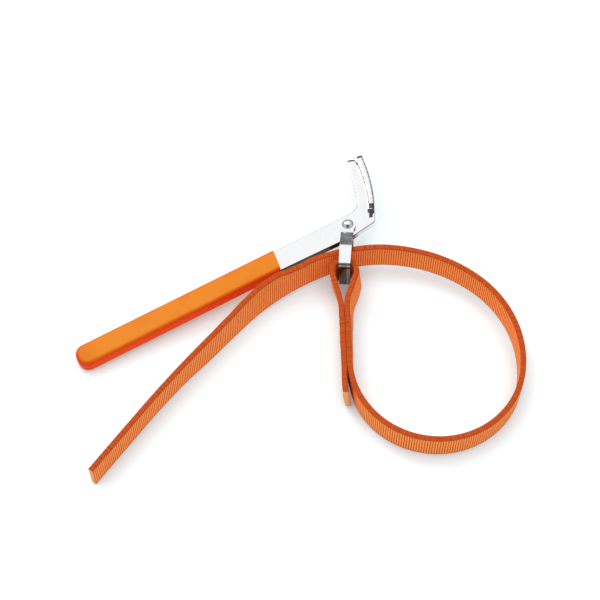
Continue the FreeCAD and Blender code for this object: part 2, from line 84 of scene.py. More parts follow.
# the sling round the link's base, and how it flares from the seam
SLING_ROUND = 7.6
SLING_FLARE = 17.0
SLING_BLEND = 22.0
# where the webbing passes between the link's arms, and how steeply
PASS_BESIDE = 2.95
PASS_ABOVE = 13.88
PASS_SLOPE = 13.4
# radius and turn of the loop's arcs, and of the tail's
LOOP_ROUND, LOOP_TURN = 52.0, 170.1
SHOULDER_ROUND, SHOULDER_TURN = 68.8, 61.3
TAIL_ROUND, TAIL_TURN = 127.4, 33.0
EASE_ROUND, EASE_TURN = 790.0, 6.9
TAIL_STRAIGHT = 46.3


def sind(angle):
    return math.sin(math.radians(angle))


def cosd(angle):
    return math.cos(math.radians(angle))


# %% [markdown]
# The two thicknesses at the sling flare apart from the seam, so the length of each slope
# follows from where the sling's arc leaves it. The last arc of the loop has to arrive at
# the link, so its radius is worked out from the gap that the arcs before it leave.

# %% Work out the runs of the route
def webbing_runs():
    """(length, turn) of each run from the sewn end to the tail's end, and its start."""
    gap = (WEB_THICK + SEWN_APART) / 2
    slopes, tops = [], []
    for side in (-1, 1):
        across = SLING_ROUND * cosd(SLING_FLARE) - side * SEAM_BESIDE
        across -= gap + SLING_BLEND * (1 - cosd(SLING_FLARE))
        slopes.append(across / sind(SLING_FLARE))
        drop = SLING_ROUND * sind(SLING_FLARE) + slopes[-1] * cosd(SLING_FLARE)
        tops.append(-drop - SLING_BLEND * sind(SLING_FLARE))
    ways = [-90, LOOP_TURN - 90, LOOP_TURN + SHOULDER_TURN - 90, 180 + PASS_SLOPE]
    sines = [sind(b) - sind(a) for a, b in zip(ways, ways[1:])]
    cosines = [cosd(b) - cosd(a) for a, b in zip(ways, ways[1:])]
    start_x = SEAM_BESIDE + gap
    used = LOOP_ROUND * sines[0] + SHOULDER_ROUND * sines[1]
    closing = (PASS_BESIDE - start_x - used) / sines[2]
    radii = (LOOP_ROUND, SHOULDER_ROUND, closing)
    seam_end = PASS_ABOVE + sum(r * c for r, c in zip(radii, cosines))

    def arc(radius, turn):
        return radius * math.radians(abs(turn)), turn

    runs = [(tops[0] + SEWN_END_BELOW, 0), arc(SLING_BLEND, SLING_FLARE), (slopes[0], 0)]
    runs += [arc(SLING_ROUND, -180 - 2 * SLING_FLARE), (slopes[1], 0)]
    runs += [arc(SLING_BLEND, SLING_FLARE), (tops[1] - seam_end, 0)]
    runs += [arc(radius, b - a) for radius, a, b in zip(radii, ways, ways[1:])]
    runs += [arc(TAIL_ROUND, TAIL_TURN), arc(EASE_ROUND, EASE_TURN), (TAIL_STRAIGHT, 0)]
    start = Vector((SEAM_BESIDE - gap, -SEWN_END_BELOW))
    return runs, start


# the runs before the loop's first arc, and the place of its last arc among the runs
SEAM_RUNS = 7
CLOSING_RUN = 9
runs, route_start = webbing_runs()
web_long = sum(length for length, _ in runs)
print("webbing length %.1f mm, closing arc %.1f mm" % (web_long, runs[CLOSING_RUN][0]))


# %% Find a place on the route
def on_route(station):
    """Place and heading, in degrees, of a point that far along the webbing, in mm."""
    point, heading = route_start.copy(), 90.0
    for length, turn in runs:
        step = min(station, length)
        swept = turn * step / length
        if turn:
            radius = length / math.radians(turn)
            chord = 2 * radius * sind(swept / 2)
            point += chord * Vector((cosd(heading + swept / 2), sind(heading + swept / 2)))
        else:
            point += step * Vector((cosd(heading), sind(heading)))
        heading += swept
        station -= step
        if station <= 0:
            break
    return point, heading


# %% [markdown]
# ## Weaving the webbing
# Real webbing is woven flat and then bent, and so is this one. A rounded section is drawn
# with a grid face and a vertex bevel and extruded to the full length. Lengthwise cuts mark
# where the ribs fade, and a subdivision across gives each rib its steps. Then the ribs are
# pressed in, and at last every vertex is carried to its place along the route. A curve
# with a bevel object would be quicker, but it gives no ribs.

# %% Weave it flat
RIB_PITCH = 1.5
RIB_DEEP = 0.16
RIB_ROUND = 0.6
STEPS_A_RIB = 5
CORNER = 0.5
CORNER_STEPS = 3
PLAIN_RIM = 0.1
RIM_FADE = 0.7
RIB_FADE = WEB_WIDE / 2 - CORNER - PLAIN_RIM
RIB_FULL = RIB_FADE - RIM_FADE


def flat_webbing():
    """A straight length of webbing along Z, its thickness in X and its width in Y."""
    bm = bmesh.new()
    bmesh.ops.create_grid(bm, x_segments=1, y_segments=1, size=0.5)
    bmesh.ops.scale(bm, vec=(WEB_THICK, WEB_WIDE, 1), verts=bm.verts)
    bmesh.ops.bevel(
        bm, geom=bm.verts[:], offset=CORNER, offset_type="OFFSET", segments=CORNER_STEPS,
        profile=0.5, affect="VERTICES", material=-1,
    )
    swept = bmesh.ops.extrude_face_region(bm, geom=bm.faces[:], use_keep_orig=True)
    ends = [v for v in swept["geom"] if isinstance(v, bmesh.types.BMVert)]
    bmesh.ops.translate(bm, vec=(0, 0, web_long), verts=ends)
    for y in (-RIB_FADE, -RIB_FULL, 0, RIB_FULL, RIB_FADE):
        geom = bm.verts[:] + bm.edges[:] + bm.faces[:]
        bmesh.ops.bisect_plane(bm, geom=geom, plane_co=(0, y, 0), plane_no=(0, 1, 0))
    lengthwise = [e for e in bm.edges if e.calc_length() > web_long / 2]
    steps = round(web_long / RIB_PITCH * STEPS_A_RIB)
    bmesh.ops.subdivide_edges(bm, edges=lengthwise, cuts=steps - 1, use_grid_fill=True)
    bmesh.ops.recalc_face_normals(bm, faces=bm.faces)
    print("flat webbing:", len(bm.verts), "vertices,", len(bm.faces), "faces")
    return bm


web = flat_webbing()


# %% [markdown]
# ## Ribs, and the print of the weave
# Every rib is a round hump between two narrow grooves, and the ribs die away before the
# woven edges. While the webbing is still flat, its length and width are kept as a UV map,
# so that the material's threads later follow every bend.

# %% Rib it and lay out its UV map
def rib_height(station):
    """0 in a groove and 1 on top of a rib; a power under 1 makes wide humps."""
    return abs(math.sin(math.pi * station / RIB_PITCH)) ** RIB_ROUND


def rib_webbing(bm):
    uv = bm.loops.layers.uv.new("weave")
    for face in bm.faces:
        for loop in face.loops:
            loop[uv].uv = (loop.vert.co.z * MM, loop.vert.co.y * MM)
    for vert in bm.verts:
        reach = (RIB_FADE - abs(vert.co.y)) / (RIB_FADE - RIB_FULL)
        fade = min(1, max(0, reach))
        side = math.copysign(1, vert.co.x)
        vert.co.x -= side * RIB_DEEP * fade * (1 - rib_height(vert.co.z))


rib_webbing(web)
print("ribs:", round(web_long / RIB_PITCH))


# %% [markdown]
# ## Lean
# Webbing on edge never stands quite upright. Below the sling both thicknesses lean to
# the right, and where the webbing comes out of the link its lower edge swings forward.
# A few chosen stations say how far the upper and lower edges go, and the way between two
# stations is eased, so that the webbing twists without a kink.

# %% How far the edges lean, in millimetres to the right and ahead
# beside the seam: (below the sling's middle, upper edge, lower edge)
SEAM_LEAN = [
    (-82.3, (0.9, 0.0), (2.8, 0.0)), (-75.0, (0.3, 0.0), (1.4, 0.0)),
    (-40.0, (-0.5, 0.0), (0.9, 0.0)), (-25.0, (-1.1, 0.0), (1.6, 0.0)),
    (-8.0, (-0.3, 0.0), (2.4, 0.0)), (2.0, (0.0, 0.0), (2.0, 0.0)),
    (8.0, (0.0, 0.0), (1.6, 0.0)),
]
# past the seam: (along the webbing from the seam's end, upper edge, lower edge)
RUN_LEAN = [
    (0.0, (0.0, 0.0), (1.0, 0.0)), (45.0, (0.0, 0.0), (0.0, 0.0)),
    (262.0, (0.0, 0.0), (0.0, 0.0)), (300.0, (0.0, 0.6), (0.0, 0.0)),
    (322.0, (0.0, 1.2), (0.0, -1.1)), (333.0, (0.0, 1.4), (0.0, -1.8)),
    (343.0, (0.0, 0.4), (0.0, -2.2)), (349.0, (0.0, 0.8), (0.0, -2.4)),
    (360.0, (0.0, 2.8), (0.0, -2.8)), (372.0, (0.0, 3.2), (0.0, -3.1)),
    (386.0, (0.0, 2.0), (0.0, -3.2)), (400.0, (0.0, 0.6), (0.0, -3.2)),
    (413.0, (0.0, 0.0), (0.5, -2.6)), (451.0, (0.0, 0.0), (0.0, -0.5)),
    (473.0, (0.0, 0.0), (0.0, 0.0)), (999.0, (0.0, 0.0), (0.0, 0.0)),
]
seam_done = sum(length for length, _ in runs[:SEAM_RUNS])


def eased(table, at):
    """The upper and lower edges' shifts at a place, eased between the table's rows."""
    for (start, *low), (end, *high) in zip(table, table[1:]):
        if at <= end:
            part = min(1, max(0, (at - start) / (end - start)))
            part = part * part * (3 - 2 * part)
            return [Vector(a).lerp(Vector(b), part) for a, b in zip(low, high)]
    return [Vector(shift) for shift in table[-1][1:]]


def lean_at(point, station, height):
    """The shift of a point of the webbing at a height over its middle."""
    if station <= seam_done:
        upper, lower = eased(SEAM_LEAN, point.y)
    else:
        upper, lower = eased(RUN_LEAN, station - seam_done)
    return lower.lerp(upper, height / WEB_WIDE + 0.5)


# %% [markdown]
# ## Bending
# Each vertex knows how far along the webbing it is, so its place follows from the route's
# place and heading there. Its thickness is laid off square to the heading. A curve modifier
# would do nearly the same, but would stretch the ribs on tight bends unevenly.

# %% Bend it along the route
def in_plane(flat, height):
    """A place in the row frame from one in the webbing's plane."""
    return sling_centre + (plane_right * flat.x + plane_ahead * flat.y + plane_up * height) * MM


def lay_webbing(bm):
    places = {}
    for vert in bm.verts:
        offset, height, station = vert.co
        key = round(station, 2)
        if key not in places:
            places[key] = on_route(key)
        point, heading = places[key]
        flat = point + offset * Vector((-sind(heading), cosd(heading)))
        vert.co = in_plane(flat + lean_at(point, key, height), height)


lay_webbing(web)
print("tail's end at", [round(v, 4) for v in in_plane(on_route(web_long)[0], 0)])


# %% [markdown]
# ## One mesh for two bodies
# The imported model holds the webbing as two plain solids, because the tail can bend at a
# hinge just past the link. The real webbing is one length, so one mesh stands for both.


def finish_piece(bm, name):
    mesh = bpy.data.meshes.new(name)
    bm.to_mesh(mesh)
    bm.free()
    mesh.shade_smooth()
    piece = bpy.data.objects.new(name, mesh)
    scene.collection.objects.link(piece)
    print(name, "has", len(mesh.polygons), "faces")
    return piece


webbing = finish_piece(web, "ribbed_webbing")
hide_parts("strap_loop", "strap_tail")
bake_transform(webbing)

# %% [markdown]
# ## Shared effects
# An effect that more than one finish uses is a node group with inputs of its own.
# `handling_marks` is a soft blotchy mask, for the haze that fingers leave. `spun_fibre` is
# a fine streaky height that reads as yarn, or as polishing lines. `facing_up` tells level
# faces from upright ones. `beyond` and `from_axis` measure distances, which become masks
# for a tone in a certain place. Copying the nodes into each material would work as well,
# but then every copy would have to be tuned again.

# %% Helpers that place and link nodes
def feed(tree, value, socket):
    """Link another node's output to a socket, or set a plain value on it."""
    if isinstance(value, bpy.types.NodeSocket):
        tree.links.new(value, socket)
    else:
        socket.default_value = value


def add_node(tree, kind, **values):
    """A node with its settings by name, and its inputs by label after an in_."""
    node = tree.nodes.new(kind)
    for key, value in values.items():
        if key.startswith("in_"):
            feed(tree, value, node.inputs[key.removeprefix("in_").replace("_", " ")])
        else:
            setattr(node, key, value)
    return node


def new_material(name, **shader):
    """A material and its tree, with the shader's constant sockets set."""
    material = bpy.data.materials.new(name)
    material.use_nodes = True
    tree = material.node_tree
    for label, value in shader.items():
        tree.nodes["Principled BSDF"].inputs[label.replace("_", " ")].default_value = value
    return material, tree


def feed_shader(tree, colour, roughness, normal):
    sockets = tree.nodes["Principled BSDF"].inputs
    tree.links.new(colour, sockets["Base Color"])
    tree.links.new(roughness, sockets["Roughness"])
    tree.links.new(normal, sockets["Normal"])


def own_place(tree):
    """The piece's own coordinates, which are the row's, in metres."""
    return tree.nodes.new("ShaderNodeTexCoord").outputs["Object"]


# %% Helpers for sums, ramps, noise and bumps
def maths(tree, operation, *values, clamp=False):
    node = add_node(tree, "ShaderNodeMath", operation=operation, use_clamp=clamp)
    for socket, value in zip(node.inputs, values):
        feed(tree, value, socket)
    return node.outputs["Value"]


def vector_maths(tree, operation, first, second, result="Vector"):
    node = add_node(tree, "ShaderNodeVectorMath", operation=operation)
    feed(tree, first, node.inputs[0])
    feed(tree, second, node.inputs[1])
    return node.outputs[result]


def rescale(tree, source, low, high, from_low=0.0, from_high=1.0, easing="LINEAR"):
    """From low to high while the source goes from from_low to from_high."""
    node = add_node(
        tree, "ShaderNodeMapRange", interpolation_type=easing, in_Value=source,
        in_From_Min=from_low, in_From_Max=from_high, in_To_Min=low, in_To_Max=high,
    )
    return node.outputs["Result"]


def ramp(tree, source, stops):
    """Colours along a value: stops are (place, colour)."""
    node = add_node(tree, "ShaderNodeValToRGB", in_Fac=source)
    while len(node.color_ramp.elements) < len(stops):
        node.color_ramp.elements.new(0.5)
    for element, (place, colour) in zip(node.color_ramp.elements, stops):
        element.position = place
        element.color = (*colour, 1)
    return node.outputs["Color"]


def mix_colours(tree, factor, first, second, way="MIX"):
    node = add_node(tree, "ShaderNodeMix", data_type="RGBA", blend_type=way)
    feed(tree, factor, node.inputs["Factor"])
    feed(tree, first, node.inputs["A"])
    feed(tree, second, node.inputs["B"])
    return node.outputs["Result"]


def noise(tree, vector, scale, detail=2.0, roughness=0.5):
    node = add_node(
        tree, "ShaderNodeTexNoise",
        in_Vector=vector, in_Scale=scale, in_Detail=detail, in_Roughness=roughness,
    )
    return node.outputs["Fac"]


def bump(tree, height, distance, under=None):
    """Normals from a height, over another bump's where one is given."""
    node = add_node(tree, "ShaderNodeBump", in_Height=height, in_Distance=distance)
    if under is not None:
        tree.links.new(under, node.inputs["Normal"])
    return node.outputs["Normal"]


# %% Helpers that build and place a group
def new_group(name, output, **inputs):
    """A group of one output, with its inputs' default values, and its two ends."""
    group = bpy.data.node_groups.new(name, "ShaderNodeTree")
    for label, value in inputs.items():
        kind = "NodeSocketFloat" if isinstance(value, float) else "NodeSocketVector"
        socket = group.interface.new_socket(label, in_out="INPUT", socket_type=kind)
        socket.default_value = value
    group.interface.new_socket(output, in_out="OUTPUT", socket_type="NodeSocketFloat")
    start = group.nodes.new("NodeGroupInput")
    end = group.nodes.new("NodeGroupOutput")
    return group, start.outputs, end.inputs[output]


def use_group(tree, group, **inputs):
    node = tree.nodes.new("ShaderNodeGroup")
    node.node_tree = group
    for label, value in inputs.items():
        feed(tree, value, node.inputs[label])
    return node.outputs[0]


# %% handling_marks: a soft mask of blotches
ORIGIN = (0.0, 0.0, 0.0)
MARKS_GAIN = 6.0


def make_handling_marks():
    group, start, end = new_group(
        "handling_marks", "Mask", Vector=ORIGIN, Scale=60.0, Contrast=0.5,
    )
    blotch = noise(group, start["Vector"], start["Scale"], detail=5.0, roughness=0.62)
    centred = maths(group, "SUBTRACT", blotch, 0.5)
    spread = maths(group, "MULTIPLY", centred, start["Contrast"])
    feed(group, maths(group, "MULTIPLY_ADD", spread, MARKS_GAIN, 0.5, clamp=True), end)
    return group


handling_marks = make_handling_marks()


# %% spun_fibre: fine streaks that run one way
def make_spun_fibre():
    group, start, end = new_group(
        "spun_fibre", "Height", Vector=ORIGIN, Fineness=2500.0, Stretch=(1.0, 0.12, 1.0),
    )
    drawn = vector_maths(group, "MULTIPLY", start["Vector"], start["Stretch"])
    feed(group, noise(group, drawn, start["Fineness"], detail=3.0, roughness=0.6), end)
    return group


spun_fibre = make_spun_fibre()


# %% facing_up: 1 on level faces, 0 on upright ones
def make_facing_up():
    group, _, end = new_group("facing_up", "Level")
    normal = group.nodes.new("ShaderNodeNewGeometry").outputs["Normal"]
    parts = add_node(group, "ShaderNodeSeparateXYZ", in_Vector=normal)
    feed(group, maths(group, "ABSOLUTE", parts.outputs["Z"]), end)
    return group


facing_up = make_facing_up()


# %% beyond and from_axis: distances that masks are made of
def make_beyond():
    group, start, end = new_group(
        "beyond", "Distance", Vector=ORIGIN, Point=ORIGIN, Direction=(1.0, 0.0, 0.0),
    )
    apart = vector_maths(group, "SUBTRACT", start["Vector"], start["Point"])
    feed(group, vector_maths(group, "DOT_PRODUCT", apart, start["Direction"], "Value"), end)
    return group


def make_from_axis():
    group, start, end = new_group(
        "from_axis", "Distance", Vector=ORIGIN, Point=ORIGIN, Axis=(0.0, 0.0, 1.0),
    )
    apart = vector_maths(group, "SUBTRACT", start["Vector"], start["Point"])
    lift = vector_maths(group, "PROJECT", apart, start["Axis"])
    feed(group, vector_maths(group, "DISTANCE", apart, lift, "Value"), end)
    return group


beyond = make_beyond()
from_axis = make_from_axis()
print("shared effects:", [group.name for group in bpy.data.node_groups])


# %% [markdown]
# ## Polished and plated steel
# Bright plate is nearly a mirror, so most of its look comes from what it reflects. What
# makes it real is what breaks the mirror: the long polishing lines under the plate, a haze
# where it was handled, and a slow wave in the metal. The lines follow each piece's length.
# Upright faces and rounded edges are painted darker, a painted shade. One function makes
# the plate of every piece, with that piece's direction of polishing.

# %% The lever's own directions
LEVER_ANGLE = 28.7
rivet = Vector(joints["link_pivot"]["pos_m"])
lever_up = Vector(joints["link_pivot"]["axis"])
across = Vector((-sind(LEVER_ANGLE), cosd(LEVER_ANGLE), 0.0))
along = across.cross(lever_up)


def on_lever(ahead, above):
    """A place that many millimetres ahead of the rivet and above it, as the lever lies."""
    return rivet + (along * ahead + across * above) * MM


print("rivet at", [round(v, 4) for v in rivet])

# %% The plated finish
STEEL = (0.93, 0.935, 0.945)
HANDLED = 0.95
HANDLED_HAZE = 0.09
POLISHING_DEEP = 0.02 * MM
WAVE_DEEP = 0.4 * MM
# how level a face is where the painted shade of its side ends, and where that of its rounded edge
# runs
SIDE_ENDS = 0.3
EDGE_FROM = 0.45
EDGE_TO = 0.92
LEVEL_FROM = 0.985


def turned(tree, vector, angle):
    """The same coordinates turned about Z, so that X runs at that angle."""
    turn = (0, 0, -math.radians(angle))
    return add_node(tree, "ShaderNodeMapping", in_Vector=vector, in_Rotation=turn).outputs["Vector"]


def make_plated_steel(name, polish_angle, haze, side, edge):
    """side and edge are the painted shade of upright faces and of the rounds beside level ones."""
    material, tree = new_material(name, Metallic=1.0)
    place = own_place(tree)
    marks = use_group(tree, handling_marks, Vector=place, Scale=90.0, Contrast=0.35)
    dull = tuple(part * HANDLED for part in STEEL)
    plate = ramp(tree, marks, [(0.0, dull), (0.6, STEEL), (1.0, STEEL)])
    side_shade, edge_shade, full = ((tone,) * 3 for tone in (side, edge, 1))
    stops = [
        (SIDE_ENDS, side_shade), (EDGE_FROM, edge_shade), (EDGE_TO, edge_shade), (LEVEL_FROM, full),
    ]
    # painted shade: upright faces and rounded edges are darkened in colour, for the darker room
    # that they reflect
    shade = ramp(tree, use_group(tree, facing_up), stops)
    lines = use_group(
        tree, spun_fibre,
        Vector=turned(tree, place, polish_angle), Fineness=2600.0, Stretch=(0.03, 1.0, 1.0),
    )
    fine = bump(tree, lines, POLISHING_DEEP)
    feed_shader(
        tree,
        colour=mix_colours(tree, 1.0, plate, shade, way="MULTIPLY"),
        roughness=rescale(tree, marks, haze + HANDLED_HAZE, haze),
        normal=bump(tree, noise(tree, place, 55.0, detail=1.0), WAVE_DEEP, under=fine),
    )
    return material


steel_lever = make_plated_steel("plated_lever", LEVER_ANGLE, haze=0.05, side=0.8, edge=0.22)
steel_jaw = make_plated_steel("plated_jaw", 64.0, haze=0.08, side=0.85, edge=0.5)
steel_link = make_plated_steel("plated_link", 90.0, haze=0.07, side=0.45, edge=0.5)
steel_rivet = make_plated_steel("plated_rivet", 0.0, haze=0.08, side=0.14, edge=0.55)
print("nodes in the lever's plate:", len(steel_lever.node_tree.nodes))

# %% [markdown]
# ## Darker tones, and painted shade and reflection
# Some places are painted darker: the end faces at the jaw's tip and the roots between the
# teeth, and, as painted shade and reflection, the corner where plate and shoe meet, the
# shoe's foot in the lever's slot, the bar's side behind the link and the link's sides.
# `mark_over` lays such a tone over a finished material where a mask says so. The masks are
# distances: past a line, or out from the axis that the cam is curved about. Painting them
# on a texture would do too, but a rule follows the shape.

# %% Lay a tone over a finish
def mark_over(material, tone, make_mask):
    tree = material.node_tree
    base = tree.nodes["Principled BSDF"].inputs["Base Color"]
    under = base.links[0].from_socket
    place = tree.nodes["Texture Coordinate"].outputs["Object"]
    tree.links.new(mix_colours(tree, make_mask(tree, place), under, (*tone, 1)), base)


def past(tree, place, point, direction, start, full, most=1.0):
    """From 0 to most, between two distances in millimetres past a point."""
    distance = use_group(tree, beyond, Vector=place, Point=point, Direction=direction)
    return rescale(tree, distance, 0.0, most, start * MM, full * MM)


# %% The lever's dark tip end, and the painted shade where plate and shoe meet
CAM_FOOT = (21.1, 2.45)
CAM_FACES = -26.6
CAM_ROUND = 110.0
CAM_WALL = 3.6
cam_centre = on_lever(
    CAM_FOOT[0] - CAM_ROUND * cosd(CAM_FACES), CAM_FOOT[1] - CAM_ROUND * sind(CAM_FACES),
)
JAW_TIP = (23.5, 42.9)
JAW_END_FACES = 70.0
JAW_TIP_END_TONE = (0.13, 0.13, 0.11)
CORNER_SHADE_TONE = (0.50, 0.44, 0.38)


def facing(angle):
    """The direction at that angle from the lever's length."""
    return along * cosd(angle) + across * sind(angle)


def from_cam_axis(tree, place, low, high, start, full):
    """From low to high, between two distances in millimetres from the cam's axis."""
    out = use_group(tree, from_axis, Vector=place, Point=cam_centre, Axis=lever_up)
    return rescale(tree, out, low, high, start * MM, full * MM)


def lever_end(tree, place):
    return past(tree, place, on_lever(*JAW_TIP), facing(JAW_END_FACES), -1.7, -1.4)


def shoe_corner_shade(tree, place):
    """Painted shade: a thin dark line where plate and shoe meet, stronger towards the tip."""
    wall = CAM_ROUND - CAM_WALL
    near = from_cam_axis(tree, place, 0.0, 1.0, wall - 1.3, wall - 0.9)
    rise = past(tree, place, on_lever(*CAM_FOOT), across, 6.0, 26.0, most=0.75)
    return maths(tree, "MULTIPLY", near, rise)


mark_over(steel_lever, JAW_TIP_END_TONE, lever_end)
mark_over(steel_lever, CORNER_SHADE_TONE, shoe_corner_shade)
print("cam axis at", [round(v, 4) for v in cam_centre])

# %% Painted shade and reflection on the bar's lower side
SIDE_SHADE_AND_REFLECTION = (0.12, 0.065, 0.04)


def lower_side_shade_and_reflection(tree, place):
    """Painted shade and painted reflection of the webbing: the side behind the link, dark
    orange-brown.
    """
    upright = rescale(tree, use_group(tree, facing_up), 1.0, 0.0, 0.4, 0.7)
    below = past(tree, place, rivet, -across, 4.0, 5.0)
    behind = past(tree, place, rivet, -along, -4.0, 0.0)
    return maths(tree, "MULTIPLY", maths(tree, "MULTIPLY", upright, below), behind)


mark_over(steel_lever, SIDE_SHADE_AND_REFLECTION, lower_side_shade_and_reflection)


# %% [markdown]
# ## The cam shoe's dark places
# The shoe is a curved bar with teeth. The roots between its teeth get a dark tone broken
# into patches. Both its ends are darker: one closes the jaw's tip, and the other, its foot,
# stands in the lever's slot and shows above and below the plate, as painted shade.

# %% The roots of the teeth
ROOT_TONE = (0.10, 0.09, 0.08)
# a noise between these two values goes from unmarked to dark
DARK_FROM = 0.38
DARK_FULL = 0.56


def tooth_roots(tree, place):
    near = from_cam_axis(tree, place, 0.0, 1.0, CAM_ROUND - 1.5, CAM_ROUND - 1.0)
    crest = from_cam_axis(tree, place, 1.0, 0.15, CAM_ROUND - 0.5, CAM_ROUND - 0.15)
    patches = rescale(tree, noise(tree, place, 900.0), 0.45, 1.0, DARK_FROM, DARK_FULL)
    return maths(tree, "MULTIPLY", maths(tree, "MULTIPLY", near, crest), patches)


mark_over(steel_jaw, ROOT_TONE, tooth_roots)

# %% The shoe's two dark ends: its foot in painted shade and shadow, and its tip
SHOE_TURN = 19.38
HALF_PLATE = 2.5
FOOT_SHADE_ABOVE = (0.12, 0.115, 0.09)
FOOT_SHADOW_BELOW = (0.075, 0.05, 0.032)
SHOE_TIP_TONE = (0.12, 0.12, 0.10)


def foot_shade(tree, place, start, full):
    """Painted shade on the foot's end face, between two heights over the plate's middle."""
    face = past(tree, place, cam_centre, -facing(CAM_FACES + 90), -0.3, -0.1)
    return maths(tree, "MULTIPLY", face, past(tree, place, cam_centre, lever_up, start, full))


def foot_shade_above(tree, place):
    return foot_shade(tree, place, HALF_PLATE + 0.8, HALF_PLATE + 1.0)


def foot_shadow_below(tree, place):
    return foot_shade(tree, place, HALF_PLATE, HALF_PLATE - 0.2)


def shoe_end(tree, place):
    return past(tree, place, cam_centre, facing(CAM_FACES + SHOE_TURN + 90), -1.7, -1.3)


# painted shade on the foot above the plate, and painted shadow on it below the plate
mark_over(steel_jaw, FOOT_SHADE_ABOVE, foot_shade_above)
mark_over(steel_jaw, FOOT_SHADOW_BELOW, foot_shadow_below)
mark_over(steel_jaw, SHOE_TIP_TONE, shoe_end)
print("nodes in the shoe's plate:", len(steel_jaw.node_tree.nodes))

# %% [markdown]
# ## Painted reflection on the link
# The link is bent from strip. Its slopes and sides get a painted reflection of the webbing
# and the dark room, as dark brown streaks down its length. They are the fibre group again,
# stretched much further, and the face that lies level stays bright.

# %% The link's painted reflection
LINK_REFLECTION_TONE = (0.105, 0.056, 0.028)


def link_painted_reflection(tree, place):
    upright = rescale(tree, use_group(tree, facing_up), 1.0, 0.0, 0.3, 0.97)
    drawn = use_group(
        tree, spun_fibre, Vector=place, Fineness=650.0, Stretch=(1.0, 0.04, 0.03),
    )
    streaks = rescale(tree, drawn, 0.15, 1.0, DARK_FROM, DARK_FULL)
    return maths(tree, "MULTIPLY", upright, streaks)


mark_over(steel_link, LINK_REFLECTION_TONE, link_painted_reflection)


# %% [markdown]
# ## Dipped vinyl
# The grip is a thick skin of orange vinyl. It is nearly matt, so it takes its colour from
# itself and hardly any from the room. The surface has a faint orange-peel. Its colour is
# painted deeper on the sides, over the edges of the top and round the end, and lighter on
# the top: painted shade and light, from a ramp on how level a face is and from the
# distance to the top's middle and end.

# %% The vinyl
# painted light and shade: the side, round and edge tones are darker for faces turned from the lamp,
# and the top is lighter
VINYL_SHADED_SIDE = (0.86, 0.085, 0.008)
VINYL_ROUND = (0.84, 0.090, 0.008)
VINYL_EDGE = (0.80, 0.17, 0.012)
VINYL_LIT_TOP = (0.84, 0.26, 0.025)
ROUNDED_TOP_SHADE_TINT = (0.88, 0.62, 0.45, 1)
ROUNDED_TOP_SHADE_MOST = 0.75
PEEL_DEEP = 0.05 * MM
FLOW_DEEP = 0.4 * MM
grip_box = frame["nodes"]["grip"].bound_box
grip_middle = sum((Vector(corner) for corner in grip_box), Vector()) / len(grip_box)


def rounded_top_shade(tree, place):
    """Painted shade: 1 near the edges of the top and at the grip's end."""
    distance = use_group(
        tree, beyond, Vector=place, Point=grip_middle, Direction=across,
    )
    edges = rescale(tree, maths(tree, "ABSOLUTE", distance), 0.0, 1.0, 6.0 * MM, 12.5 * MM)
    return maths(tree, "MAXIMUM", edges, past(tree, place, grip_middle, -along, 56.0, 70.0))


def make_grip_vinyl():
    material, tree = new_material("dipped_vinyl", Specular_IOR_Level=0.04)
    place = own_place(tree)
    marks = use_group(tree, handling_marks, Vector=place, Scale=45.0, Contrast=0.35)
    level = use_group(tree, facing_up)
    facing_light = maths(tree, "ADD", level, rescale(tree, marks, -0.05, 0.05))
    stops = [(0.0, VINYL_SHADED_SIDE), (0.6, VINYL_ROUND), (0.88, VINYL_EDGE), (1.0, VINYL_LIT_TOP)]
    round_shade = rescale(tree, rounded_top_shade(tree, place), 0.0, ROUNDED_TOP_SHADE_MOST)
    skin = mix_colours(tree, round_shade, ramp(tree, facing_light, stops), ROUNDED_TOP_SHADE_TINT, way="MULTIPLY")
    peel = bump(tree, noise(tree, place, 700.0), PEEL_DEEP)
    flow = bump(tree, noise(tree, place, 90.0, detail=1.0), FLOW_DEEP, under=peel)
    feed_shader(tree, colour=skin, roughness=rescale(tree, marks, 0.42, 0.3), normal=flow)
    return material


vinyl = make_grip_vinyl()
print("grip's middle at", [round(v, 4) for v in grip_middle])

# %% [markdown]
# ## Woven webbing
# The ribs are real geometry. The material adds what is smaller: yarns across each rib,
# grooves painted darker and redder as painted shade, rib tops painted lighter as a painted
# highlight, a plain tight edge of a deeper colour, and pale cores where the yarns are cut.
# It reads the UV map, whose units are metres of webbing, so its threads stay square to the
# webbing on every bend, which no pattern in space would.

# %% The weave's colours
# painted shade in the grooves, darker and redder, and a painted highlight on the ribs' tops
RIB_SHADE_AND_HIGHLIGHT = [
    (0.0, (0.54, 0.066, 0.010)), (0.4, (0.80, 0.142, 0.022)),
    (0.8, (0.97, 0.255, 0.050)), (1.0, (1.0, 0.44, 0.15)),
]
RIM_COLOURS = [(0.3, (0.40, 0.050, 0.010)), (0.7, (0.72, 0.125, 0.024))]
CUT_COLOURS = [(0.3, (0.85, 0.33, 0.09)), (0.7, (0.95, 0.50, 0.19))]
YARN_DEEP = 0.12 * MM
CUT_REACH = 0.01 * MM


def ribbed_face(tree, uv, length, yarns):
    turn = maths(tree, "MULTIPLY", length, math.pi / (RIB_PITCH * MM))
    rib = maths(tree, "ABSOLUTE", maths(tree, "SINE", turn))
    fuzz = use_group(tree, spun_fibre, Vector=uv, Fineness=900.0, Stretch=(1.0, 0.5, 1.0))
    lit = maths(tree, "MULTIPLY", rib, rescale(tree, yarns, 0.75, 1.2, 0.25, 0.75))
    lit = maths(tree, "MULTIPLY", lit, rescale(tree, fuzz, 0.85, 1.15, 0.25, 0.75))
    return ramp(tree, lit, RIB_SHADE_AND_HIGHLIGHT)


